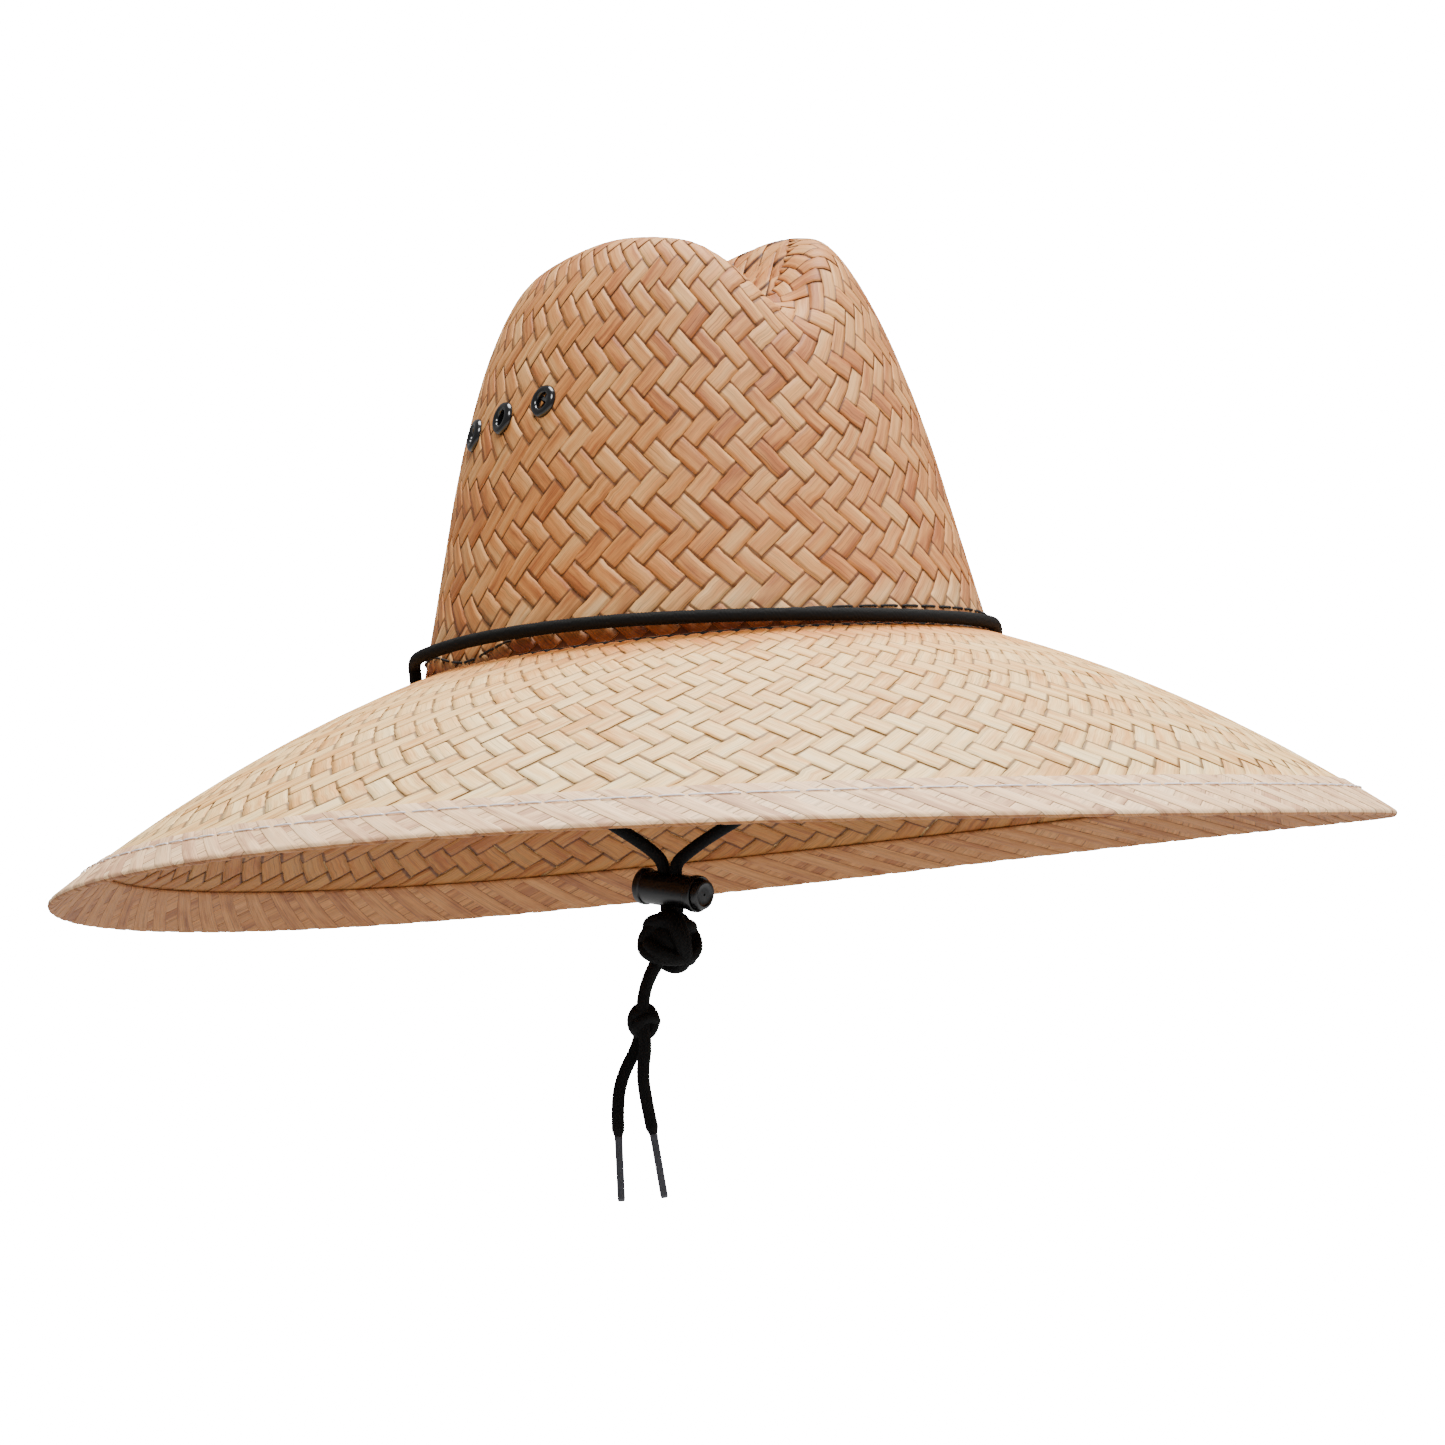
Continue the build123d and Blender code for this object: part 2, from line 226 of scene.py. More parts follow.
def ribbonGrid(points, normals, lift, thick):
    # one strip per first index: top and bottom sheets joined at their edges
    count, rows, columns = points.shape[:3]
    top = points + normals * (lift + thick / 2)[..., None]
    low = points + normals * (lift - thick / 2)[..., None]
    verts = np.stack([top, low], 1).reshape(-1, 3) * mm
    index = np.arange(count * 2 * rows * columns).reshape(count, 2, rows, columns)
    t, b = index[:, 0], index[:, 1]
    quads = [np.stack([t[:, :-1, :-1], t[:, :-1, 1:], t[:, 1:, 1:], t[:, 1:, :-1]], -1),
             np.stack([b[:, :-1, :-1], b[:, 1:, :-1], b[:, 1:, 1:], b[:, :-1, 1:]], -1),
             np.stack([t[:, :-1, 0], t[:, 1:, 0], b[:, 1:, 0], b[:, :-1, 0]], -1),
             np.stack([t[:, :-1, -1], b[:, :-1, -1], b[:, 1:, -1], t[:, 1:, -1]], -1),
             np.stack([t[:, 0, :-1], b[:, 0, :-1], b[:, 0, 1:], t[:, 0, 1:]], -1),
             np.stack([t[:, -1, :-1], t[:, -1, 1:], b[:, -1, 1:], b[:, -1, :-1]], -1)]
    return verts, np.concatenate([q.reshape(-1, 4) for q in quads])


def unit(vectors):
    return vectors / np.linalg.norm(vectors, axis=-1, keepdims=True)


def overUnder(phase):
    # 1 where a strip lies on top and -1 where it lies below, two crossings of each in turn
    rise = np.clip(phase / 0.2 + 0.5, 0, 1) - np.clip((phase - 2) / 0.2 + 0.5, 0, 1)
    return 2 * (rise + np.clip((phase - 4) / 0.2 + 0.5, 0, 1)) - 1


# how near a strip is to where it dives under; the leaf materials paint shade there
def diveDepth(phase):
    return np.clip(1.25 - np.abs((phase + 1) % 2 - 1) / 0.16, 0, 1)


def lengthAlong(points):
    return np.cumsum(np.linalg.norm(np.diff(points, axis=1, prepend=points[:, :1]), axis=3), axis=1)


def bothFaces(upper, lower):
    return np.stack([upper, lower], 1).reshape(-1, upper.shape[-1])


def plait(name, material, skin, weave, family, seed, flip=False):
    # one of the two families of strips; each passes over two of the other family and under two
    luck = np.random.default_rng(seed)
    count, crossings = weave["strips"], weave["crossings"]
    knots = np.array([-0.19, -0.08, 0.08, 0.19, 0.6, 1.0, 1.4])
    steps = (np.arange(-1, crossings // 2 + 2)[:, None] * 2 - 0.5 + knots[None, :]).ravel()
    steps = np.concatenate([[0], steps[(steps > 0.05) & (steps < crossings - 0.05)], [crossings]])
    side = np.array([-1, -0.45, 0.45, 1])
    width = luck.uniform(weave["narrow"], weave["wide"], count)
    shift = luck.normal(0, 0.02, count)
    half = side[None, None, :] * width[:, None, None] / 2 + shift[:, None, None]
    wander = luck.normal(0, 0.035, (count, len(steps)))
    half = half + (wander * 0.6)[..., None]
    t = steps[None, :, None] + 0 * half
    base = np.arange(count)[:, None, None]
    if family > 0:
        row, turn = (t + half) / 2, (2 * base - t + half) / (2 * count)
    else:
        row, turn = (t - half) / 2, (2 * base + t + half) / (2 * count)
    phase = (t + 0.5) % 4
    level = overUnder(phase) * family
    share = weave["spread"](2 * row / crossings)
    points, normals = skin.read(turn, share)
    if flip:
        normals = -normals
    floatIndex = np.floor((t + 0.5) / 2).astype(int)
    floatLuck = luck.uniform(0, 1, (count, crossings))
    floatTint = floatLuck[base + 0 * floatIndex, floatIndex % crossings]
    bulge = 1 - side[None, None, :] ** 2
    lift = weave["height"] * level + weave["curl"] * level * (bulge - 0.5) + weave["off"]
    lift = lift + level * 0.10 * (floatTint - 0.5)
    verts, faces = ribbonGrid(points, normals, lift, weave["thick"])
    stripTint = luck.uniform(0, 1, count)
    # blue carries the dive mask, which the leaf material paints as shade
    depth = diveDepth(phase) + 0 * half
    along = lengthAlong(points)
    uv = np.stack([(side[None, None, :] + 0 * t) * 0.5 + 0.5 + 2 * base, along * mm * 10 + 0.37 * base], -1)
    # alpha: share along, raised past 0.5 on the lower sheet, which the material darkens as painted shade
    share = np.clip(share, 0, 1) * 0.49
    faceUp = np.stack([stripTint[:, None, None] + 0 * t, floatTint, depth, share], -1)
    faceDown = np.stack([stripTint[:, None, None] + 0 * t, floatTint, depth, share + 0.5], -1)
    return meshPiece(name, verts, faces, material, bothFaces(uv, uv), bothFaces(faceUp, faceDown))


# plaited palm leaf: dried, split leaf, satin, with fine lengthwise fibres and painted shade at each dive,
# where a strip goes under;
# zones are (share of the way along, tint), the last one is the leaf's lower face; darker zones are painted
# shade
def palmLeaf(name, tones, diveShade, shadeZones, streakMm=0.4, stripMm=7.0):
    material, tree, shader = newMaterial(name)
    uvNode = addNode(tree, "ShaderNodeUVMap", {"uv_map": "strip"})
    tintNode = addNode(tree, "ShaderNodeVertexColor", {"layer_name": "tint"})
    split = addNode(tree, "ShaderNodeSeparateColor", links={"Color": (tintNode, "Color")})
    each = addNode(tree, "ShaderNodeMath", {"operation": "MULTIPLY", 1: 23.0}, {0: (split, "Green")})
    place = addNode(tree, "ShaderNodeCombineXYZ", links={"Z": (each, "Value")})
    # fibres run the length of a strip; every float shows its own stretch of leaf
    stretched = addNode(tree, "ShaderNodeMapping", {"Scale": (stripMm / streakMm, 2.4, 1)},
                        {"Vector": (uvNode, "UV"), "Location": (place, "Vector")})
    fibres = addNode(tree, "ShaderNodeTexNoise", {"Scale": 1.0, "Detail": 4.0, "Roughness": 0.7},
                     {"Vector": (stretched, "Vector")})
    wide = addNode(tree, "ShaderNodeMapping", {"Scale": (2.6, 5.0, 1)},
                   {"Vector": (uvNode, "UV"), "Location": (place, "Vector")})
    patches = addNode(tree, "ShaderNodeTexNoise", {"Scale": 1.0, "Detail": 3.0}, {"Vector": (wide, "Vector")})
    stripTone = addNode(tree, "ShaderNodeMath", {"operation": "MULTIPLY_ADD", 1: 0.22},
                        {0: (split, "Red"), 2: (patches, "Fac")})
    tone = addNode(tree, "ShaderNodeMath", {"operation": "MULTIPLY_ADD", 1: 0.26},
                   {0: (split, "Green"), 2: (stripTone, "Value")})
    ramp = addNode(tree, "ShaderNodeValToRGB", links={"Fac": (tone, "Value")})
    setRamp(ramp, [(0.42, tones[0]), (0.74, tones[1]), (0.98, tones[2])])
    fibreRamp = addNode(tree, "ShaderNodeValToRGB", links={"Fac": (fibres, "Fac")})
    setRamp(fibreRamp, [(0.32, 0.42), (0.43, 0.84), (0.56, 1.0), (0.68, 1.22)])
    toned = addNode(tree, "ShaderNodeMix", {"data_type": "RGBA", "blend_type": "MULTIPLY", "Factor": 0.92},
                    {6: (ramp, "Color"), 7: (fibreRamp, "Color")})
    # painted shade by zone: darker toward the corner of crown and brim, and darker on the lower face
    zoneShade = addNode(tree, "ShaderNodeValToRGB", links={"Fac": (tintNode, "Alpha")})
    setRamp(zoneShade, shadeZones)
    zoneShaded = addNode(tree, "ShaderNodeMix", {"data_type": "RGBA", "blend_type": "MULTIPLY", "Factor": 1.0},
                    {6: (toned, 2), 7: (zoneShade, "Color")})
    # painted shade: near each dive the colour is mixed toward the dark dive colour, for the shadow where a
    # strip goes under the next
    dive = addNode(tree, "ShaderNodeMapRange", {"From Min": 0.25, "From Max": 0.95},
                   {"Value": (split, "Blue")})
    diveShaded = addNode(tree, "ShaderNodeMix", {"data_type": "RGBA", "blend_type": "MIX"},
                       {0: (dive, "Result"), 6: (zoneShaded, 2)})
    diveShaded.inputs[7].default_value = rgb(diveShade)
    tree.links.new(diveShaded.outputs[2], shader.inputs["Base Color"])
    shader.inputs["Roughness"].default_value = 0.6
    shader.inputs["Specular IOR Level"].default_value = 0.35
    bump = addNode(tree, "ShaderNodeBump", {"Strength": 0.5, "Distance": 0.0002}, {"Height": (fibres, "Fac")})
    tree.links.new(bump.outputs["Normal"], shader.inputs["Normal"])
    return material


# zone stops: the dark first stops paint the shade in the corner where crown and brim meet; the last stop
# paints shade on the lower face (for the hem, on its underneath half)
crownPalm = palmLeaf("crown palm leaf, dried and toasted", ("#e0b47c", "#cc9257", "#a86a3a"), "#3a1f0e",
                     [(0.0, "#b98a60"), (0.008, "#c79a72"), (0.02, "#ffffff"), (0.035, "#ffffff"),
                      (0.06, "#efdcc6"), (0.49, "#f6e6d4"), (0.51, "#a8866a")])
brimPalm = palmLeaf("brim palm leaf, dried and bleached", ("#ffe0a6", "#f8cc88", "#dda25c"), "#3a2010",
                    [(0.0, "#cf9868"), (0.03, "#e2b78e"), (0.09, "#fff2e0"), (0.49, "#ffffff"),
                     (0.51, "#a9855f")])
hemPalm = palmLeaf("hem palm leaf, folded and pressed", ("#fbd6aa", "#eec292", "#c89872"), "#6a4a34",
                   [(0.0, "#ffffff"), (0.5, "#ffffff"), (0.6, "#bd9c7a"), (1.0, "#bd9c7a")], 0.6, 9.0)


# a thin sheet between the two families, so that no light comes through between strips; it is painted half way
# to the dark dive colour, so what shows between the strips is painted shade
def shadedBackingSheet(name, skin, material, lift, turns, rows, holes=()):
    turn, share = np.meshgrid(np.arange(turns) / turns, np.linspace(0, 1, rows), indexing="ij")
    points, normals = skin.read(turn, share)
    points = points + normals * lift
    index = np.arange(turns * rows).reshape(turns, rows)
    ahead = np.roll(index, -1, 0)
    faces = np.stack([index[:, :-1], ahead[:, :-1], ahead[:, 1:], index[:, 1:]], -1).reshape(-1, 4)
    flat = points.reshape(-1, 3)
    middle = flat[faces].mean(1)
    for place, radius in holes:
        faces = faces[np.linalg.norm(middle - place, axis=1) > radius]
        middle = flat[faces].mean(1)
    uv = np.stack([turn * 60, share * 2], -1).reshape(-1, 2)
    # blue 0.6 mixes this sheet half way to the dark dive colour: painted shade in the gaps between strips
    tint = np.stack([0 * turn + 0.5, 0 * turn + 0.5, 0 * turn + 0.6, share * 0.45], -1).reshape(-1, 4)
    piece = meshPiece(name, flat * mm, faces, material, uv, tint)
    dress(piece, "hat")


# crown
crownWeave = {"strips": 58, "crossings": 32, "narrow": 0.93, "wide": 0.99, "height": 0.34, "curl": 0.03,
              "thick": 0.26, "off": 0.2, "spread": lambda s: s}


eyeletSet = {"places": ((-22.0, 83.0), (0.5, 80.5), (24.0, 78.0))}


def frameAlong(origin, direction):
    place = Vector(direction).normalized().to_track_quat("Z", "Y").to_matrix().to_4x4()
    place.translation = Vector(origin) * mm
    return place


def crownFrame(y, z, side):
    c = crownShape

    def inset(h):
        bow = max(h - c["bowStart"], 0) / (c["bowTop"] - c["bowStart"])
        return c["lean"] * h + c["bow"] * bow ** 2

    lean = inset(z + 0.5) - inset(z - 0.5)
    halfX, halfY = c["halfX"] - inset(z), c["halfY"] - inset(z)
    x = side * halfX * math.sqrt(1 - (y / halfY) ** 2)
    normal = Vector((x / halfX ** 2, y / halfY ** 2, 0)).normalized() + Vector((0, 0, lean))
    return frameAlong(Vector((x, y, z)) + normal.normalized() * 0.45, normal)


def eyeletHoles():
    # middle of each eyelet and how far the strips are cut back from it
    return [(np.array(crownFrame(y, z, side).translation[:]) / mm, 3.3)
            for side in (-1, 1) for y, z in eyeletSet["places"]]


def punch(piece, holes):
    # take out the faces of the strips that would cross an eyelet
    work = bmesh.new()
    work.from_mesh(piece.data)
    for place, radius in holes:
        near = [f for f in work.faces if (f.calc_center_median() / mm - Vector(place)).length < radius]
        bmesh.ops.delete(work, geom=near, context="FACES")
    work.to_mesh(piece.data)
    work.free()


def makeCrown():
    skin = Skin(crownAt, 1.0, 0.42)
    shadedBackingSheet("crown_shaded_backing", skin, crownPalm, 0.2, 260, 90, eyeletHoles())
    for family, name in ((1, "crown_strips_right"), (-1, "crown_strips_left")):
        piece = plait(name, crownPalm, skin, crownWeave, family, 11 + family)
        punch(piece, eyeletHoles())
        dress(piece, "hat", ["crown_shell"] if family > 0 else [])
    print("crown plaited,", round(skin.length), "mm from base to tip")


makeCrown()


# crown tip: a flat twill sheet over the middle, its edge tucked under the wall's strips
def makeTip():
    tip = {"halfX": 35.5, "halfY": 52.5, "strip": 6.8, "height": 0.34, "thick": 0.26, "off": 0.2, "tuck": 1.5}
    luck = np.random.default_rng(71)
    knots = np.array([-0.5, -0.4, -0.3, 0.0, 0.3, 0.4])
    diagonal = math.sqrt(0.5)
    for family, name in ((1, "tip_strips_right"), (-1, "tip_strips_left")):
        allVerts, allFaces, allUv, allTint = [], [], [], []
        for n in range(-7, 8):
            # ends of this strip where its middle line meets the oval
            run = np.linspace(-70, 70, 700)
            x = (run + family * n * tip["strip"]) * diagonal
            y = (run * family - n * tip["strip"]) * diagonal
            inside = run[(x / tip["halfX"]) ** 2 + (y / tip["halfY"]) ** 2 < 1]
            if len(inside) < 40:
                continue
            low, high = inside[0] / tip["strip"], inside[-1] / tip["strip"]
            t = np.concatenate([k + knots for k in range(-12, 13)])
            t = np.concatenate([[low], t[(t > low + 0.05) & (t < high - 0.05)], [high]])[None, :, None]
            half = np.array([-1, -0.45, 0.45, 1])[None, None, :] * luck.uniform(0.93, 0.985) / 2
            phase = (family * (t + 0.5) - n) % 4
            level = overUnder(phase)
            a, b = (t + 0 * half) * tip["strip"], (n + half + 0 * t) * tip["strip"]
            x, y = (a + family * b) * diagonal, (a * family - b) * diagonal
            points = np.stack([x, y, crownTop(x, y)], -1)
            slopeX = (crownTop(x + 0.5, y) - crownTop(x - 0.5, y))
            slopeY = (crownTop(x, y + 0.5) - crownTop(x, y - 0.5))
            normals = unit(np.stack([-slopeX, -slopeY, np.ones_like(slopeX)], -1))
            far = (x / tip["halfX"]) ** 2 + (y / tip["halfY"]) ** 2
            lift = tip["height"] * level + tip["off"] - tip["tuck"] * ease(0.80, 0.93, far)
            verts, faces = ribbonGrid(points, normals, lift, tip["thick"])
            if family < 0:
                faces = faces[:, ::-1]
            allFaces.append(faces + sum(len(v) for v in allVerts))
            allVerts.append(verts)
            floatTint = (np.floor(phase / 2) * 0.37 + np.floor((t - n) / 4) * 0.61 + n * 0.17) % 1 + 0 * half
            # blue carries the dive mask, which the leaf material paints as shade
            depth = diveDepth(phase) + 0 * half
            uv = np.stack([half + 0.5 + 2 * n + 0 * t, a * mm * 10 + 0.4 * n], -1)
            tint = np.stack([0 * a + luck.uniform(0, 1), floatTint, depth, 0 * a + 0.45], -1)
            allUv.append(bothFaces(uv, uv))
            allTint.append(bothFaces(tint, tint))
        piece = meshPiece(name, np.concatenate(allVerts), np.concatenate(allFaces), crownPalm,
                          np.concatenate(allUv), np.concatenate(allTint))
        dress(piece, "hat")


makeTip()

# brim
brimWeave = {"strips": 112, "crossings": 27, "narrow": 0.94, "wide": 0.995, "height": 0.34, "curl": 0.02,
             "thick": 0.26, "off": -0.6, "spread": lambda s: 0.86 * s + 0.14 * s * s}


def makeBrim():
    skin = Skin(brimAt, 0.005, 0.955)
    shadedBackingSheet("brim_shaded_backing", Skin(brimAt, 0.005, 0.985), brimPalm, 0.6, 300, 60)
    for family, name in ((1, "brim_strips_right"), (-1, "brim_strips_left")):
        piece = plait(name, brimPalm, skin, brimWeave, family, 31 + family, flip=True)
        dress(piece, "hat", ["brim_shell"] if family > 0 else [])
    print("brim plaited,", round(skin.length), "mm from crown to hem")


makeBrim()

# folded brim edge
hemShape = {"depth": 16.5, "reach": 1.1, "run": 131.0}


def hemAt(theta, k):
    # along the top to the rim, round it and back underneath
    h = hemShape
    bend = math.pi * h["reach"]
    path = k * (2 * h["depth"] + bend) + 0 * theta
    turnAngle = np.clip((path - h["depth"]) / h["reach"], 0, math.pi)
    inward = np.where(path < h["depth"], h["depth"] - path, np.maximum(path - h["depth"] - bend, 0))
    share = 1 - inward / h["run"]
    point = brimAt(theta + 0 * path, share)
    out = unit(point - brimAt(theta + 0 * path, share - 0.01))
    around = brimAt(theta + 0.01 + 0 * path, share) - point
    up = unit(np.cross(out, around))
    swing = turnAngle[..., None]
    middle = point - up * brimShape["wall"] / 2
    return middle + h["reach"] * (np.cos(swing) * up + np.sin(swing) * out)


def makeHem():
    # two layers of leaf wrapped over the edge at a slant, the upper one narrower so the lower shows between
    wraps = {"count": 96, "slant": 3.7, "thick": 0.2}
    skin = Skin(hemAt, 0.0, 1.0)
    k = np.array([0, .02, .1, .2, .3, .38, .43, .455, .47, .485, .5,
                  .515, .53, .545, .57, .62, .7, .8, .9, .98, 1])
    luck = np.random.default_rng(57)
    count = wraps["count"]
    side = np.array([-1, -0.9, 0, 0.9, 1])
    for layer, width, lift, name in ((-1, 1.34, -0.05, "hem_leaf_under"), (1, 0.62, 0.13, "hem_leaf_over")):
        base = (np.arange(count) + luck.uniform(-0.12, 0.12, count))[:, None, None]
        wide = width * luck.uniform(0.85, 1.1, count)[:, None, None] / 2
        half = side[None, None, :] * wide
        share = k[None, :, None] + 0 * half
        turn = (base + half + layer * wraps["slant"] * (share - 0.5)) / count
        points, normals = skin.read(turn, share)
        up = (lift + 0.07 * half / wide * (1 if layer < 0 else 0)
              - 0.10 * np.maximum(np.abs(half / wide) - 0.9, 0) / 0.1)
        up = up - 0.5 * np.maximum(np.abs(share - 0.5) - 0.48, 0) / 0.02
        verts, faces = ribbonGrid(points, -normals, up, wraps["thick"])
        along = lengthAlong(points)
        uv = np.stack([half / wide * 0.5 + 0.5 + 2 * base + 0 * share, along * mm * 10 + 0.37 * base], -1)
        strip = luck.uniform(0, 1, count)[:, None, None] + 0 * share
        each = luck.uniform(0, 1, count)[:, None, None] + 0 * share
        # blue along each wrap's edges: painted shade where the wraps lie on each other
        edge = np.where(np.abs(half / wide) > 0.95, 0.85, 0.0) + 0 * share
        # alpha marks the wrap's underneath half, which the material darkens as painted shade
        tint = np.stack([strip, each, edge, np.where(share < 0.5, 0.2, 0.8)], -1)
        piece = meshPiece(name, verts, faces, hemPalm, bothFaces(uv, uv), bothFaces(tint, tint))
        dress(piece, "hat", ["brim_edge_hem"] if layer < 0 else [])


makeHem()
print("hem folded")


# rows of stitches: each one a short thread that rises from the palm and goes back in
def stitchRow(name, material, place, row):
    count, length, radius = row["count"], row["length"], row["radius"]
    luck = random.Random(row["seed"])
    sides, rings = 6, 7
    points, faces = [], []
    for i in range(count):
        middle = (i + luck.uniform(-0.06, 0.06)) / count
        reach = length * luck.uniform(0.9, 1.06)
        path, ups = [], []
        for j in range(rings):
            k = j / (rings - 1) - 0.5
            point, up = place(middle, k * reach)
            point = point + up * (radius * 1.1 - 5.2 * radius * max(0, abs(k) * 2 - 0.72) ** 1.3)
            path.append(Vector(point))
            ups.append(Vector(up))
        start = len(points)
        for j, (point, up) in enumerate(zip(path, ups)):
            ahead = (path[min(j + 1, rings - 1)] - path[max(j - 1, 0)]).normalized()
            across = ahead.cross(up).normalized()
            lift = across.cross(ahead)
            for n in range(sides):
                angle = 2 * math.pi * n / sides
                points.append((point + (across * math.cos(angle) + lift * math.sin(angle)) * radius) * mm)
        for j in range(rings - 1):
            for n in range(sides):
                a, b = start + j * sides + n, start + j * sides + (n + 1) % sides
                faces.append((a, a + sides, b + sides, b))
        faces.append([start + n for n in range(sides)])
        faces.append([start + (rings - 1) * sides + n for n in reversed(range(sides))])
    return meshPiece(name, points, faces, material)


def plainMaterial(name, colour, roughness, grainMm=0.3, grainBump=0.1, metallic=0.0, specular=0.5,
                  mottle=0.15):
    material, tree, shader = newMaterial(name)
    coords = addNode(tree, "ShaderNodeTexCoord")
    grain = addNode(tree, "ShaderNodeTexNoise", {"Scale": 1 / (grainMm * mm), "Detail": 3.0},
                    {"Vector": (coords, "Object")})
    ramp = addNode(tree, "ShaderNodeValToRGB", links={"Fac": (grain, "Fac")})
    base = rgb(colour)
    ramp.color_ramp.elements[0].color = [c * (1 - mottle) for c in base[:3]] + [1]
    ramp.color_ramp.elements[1].color = [min(1, c * (1 + mottle)) for c in base[:3]] + [1]
    tree.links.new(ramp.outputs["Color"], shader.inputs["Base Color"])
    shader.inputs["Roughness"].default_value = roughness
    shader.inputs["Metallic"].default_value = metallic
    if metallic == 0:
        shader.inputs["Specular IOR Level"].default_value = specular
    bump = addNode(tree, "ShaderNodeBump", {"Strength": grainBump, "Distance": grainMm * 0.2 * mm},
                   {"Height": (grain, "Fac")})
    tree.links.new(bump.outputs["Normal"], shader.inputs["Normal"])
    return material


# sewing thread: spun polyester, dull; the brim's is clear nylon that shows pale
blackThread = plainMaterial("black sewing thread, spun polyester", "#17130f", 0.75, 0.15, 0.3)
clearThread = plainMaterial("clear nylon thread, drawn", "#e9e2e4", 0.25, 0.5, 0.05)


# ring is the radius in mm along which the row runs, height and inset where it lies
crownRow = {"height": 5.2, "ring": 98, "lift": 0.75, "count": 64, "length": 7.4, "radius": 0.42, "seed": 3}
hemRow = {"inset": 11.0, "ring": 214, "lift": 0.42, "count": 150, "length": 8.2, "radius": 0.28, "seed": 4}


def crownStitchPlace(turn, shift):
    theta = 2 * math.pi * turn + shift / crownRow["ring"]
    halfX, halfY = crownShape["halfX"], crownShape["halfY"]
    rho = 1 - (crownShape["lean"] * crownRow["height"]) / ((halfX + halfY) / 2)
    point = crownAt(np.array(theta), np.array(rho))
    up = unit(np.array([math.cos(theta) / halfX, math.sin(theta) / halfY, 0.0025]))
    return point + up * crownRow["lift"], up


def hemStitchPlace(turn, shift):
    theta = 2 * math.pi * turn + shift / hemRow["ring"]
    share = 1 - hemRow["inset"] / hemShape["run"]
    point = brimAt(np.array(theta), np.array(share))
    out = point - brimAt(np.array(theta), np.array(share - 0.01))
    around = brimAt(np.array(theta + 0.01), np.array(share)) - point
    up = unit(np.cross(out, around))
    return point + up * hemRow["lift"], up


def makeStitches():
    row = stitchRow("crown_base_stitches", blackThread, crownStitchPlace, crownRow)
    dress(row, "hat", ["sweatband_stitching"])
    row = stitchRow("hem_stitches", clearThread, hemStitchPlace, hemRow)
    dress(row, "hat", ["brim_hem_stitching"])


makeStitches()


# sweatband: black cotton tape inside the head opening
def makeSweatband():
    band = {"low": 0.6, "high": 26.0, "inset": 2.2, "thick": 0.9, "columns": 180, "rows": 9}
    halfX, halfY = crownShape["halfX"], crownShape["halfY"]
    points, faces, uv = [], [], []
    for layer in range(2):
        for j in range(band["rows"]):
            z = band["low"] + (band["high"] - band["low"]) * j / (band["rows"] - 1)
            roll = 0.25 * math.cos(math.pi * (j / (band["rows"] - 1) * 2 - 1))
            for i in range(band["columns"]):
                theta = 2 * math.pi * i / band["columns"]
                shrink = band["inset"] + layer * band["thick"] + crownShape["lean"] * z - roll * 0.6
                ripple = 0.10 * math.sin(34 * theta) * (j / (band["rows"] - 1))
                points.append(((halfX - shrink + ripple) * math.cos(theta) * mm,
                               (halfY - shrink + ripple) * math.sin(theta) * mm, z * mm))
                uv.append((theta * (halfX + halfY) / 2 * mm * 100, z * mm * 100))
    columns, rows = band["columns"], band["rows"]
    for j in range(rows - 1):
        for i in range(columns):
            a, b = j * columns + i, j * columns + (i + 1) % columns
            c, d = a + rows * columns, b + rows * columns
            faces.append((a, b, b + columns, a + columns))
            faces.append((c, c + columns, d + columns, d))
    for j in (0, rows - 1):
        for i in range(columns):
            a, b = j * columns + i, j * columns + (i + 1) % columns
            c, d = a + rows * columns, b + rows * columns
            faces.append((a, c, d, b) if j == 0 else (a, b, d, c))
    piece = meshPiece("sweatband_tape", points, faces, bandCloth, uv)
    dress(piece, "hat", ["sweatband"])


def wovenTape(name, colour, threadMm):
    # plain-woven cotton tape: a fine over-and-under grid, dull, with a little fuzz; the grid's low places are
    # painted darker as shade between the threads
    material, tree, shader = newMaterial(name)
    uvNode = addNode(tree, "ShaderNodeUVMap", {"uv_map": "strip"})
    scale = 1 / (threadMm * mm * 100) / 2
    warp = addNode(tree, "ShaderNodeTexWave", {"Scale": scale / 3, "bands_direction": "X", "Distortion": 0.3},
                   {"Vector": (uvNode, "UV")})
    weft = addNode(tree, "ShaderNodeTexWave", {"Scale": scale / 3, "bands_direction": "Y", "Distortion": 0.3},
                   {"Vector": (uvNode, "UV")})
    grid = addNode(tree, "ShaderNodeMath", {"operation": "MAXIMUM"}, {0: (warp, "Fac"), 1: (weft, "Fac")})
    ramp = addNode(tree, "ShaderNodeValToRGB", links={"Fac": (grid, "Value")})
    base = rgb(colour)
    # painted shade: the low places between threads at half the colour
    ramp.color_ramp.elements[0].color = [c * 0.5 for c in base[:3]] + [1]
    ramp.color_ramp.elements[1].color = base
    tree.links.new(ramp.outputs["Color"], shader.inputs["Base Color"])
    bump = addNode(tree, "ShaderNodeBump", {"Strength": 0.5, "Distance": 0.0003}, {"Height": (grid, "Value")})
    tree.links.new(bump.outputs["Normal"], shader.inputs["Normal"])
    shader.inputs["Roughness"].default_value = 0.85
    shader.inputs["Sheen Weight"].default_value = 0.2
    return material


bandCloth = wovenTape("cotton tape, plain woven, black", "#2a2624", 1.0)
makeSweatband()
print("stitches and sweatband in")


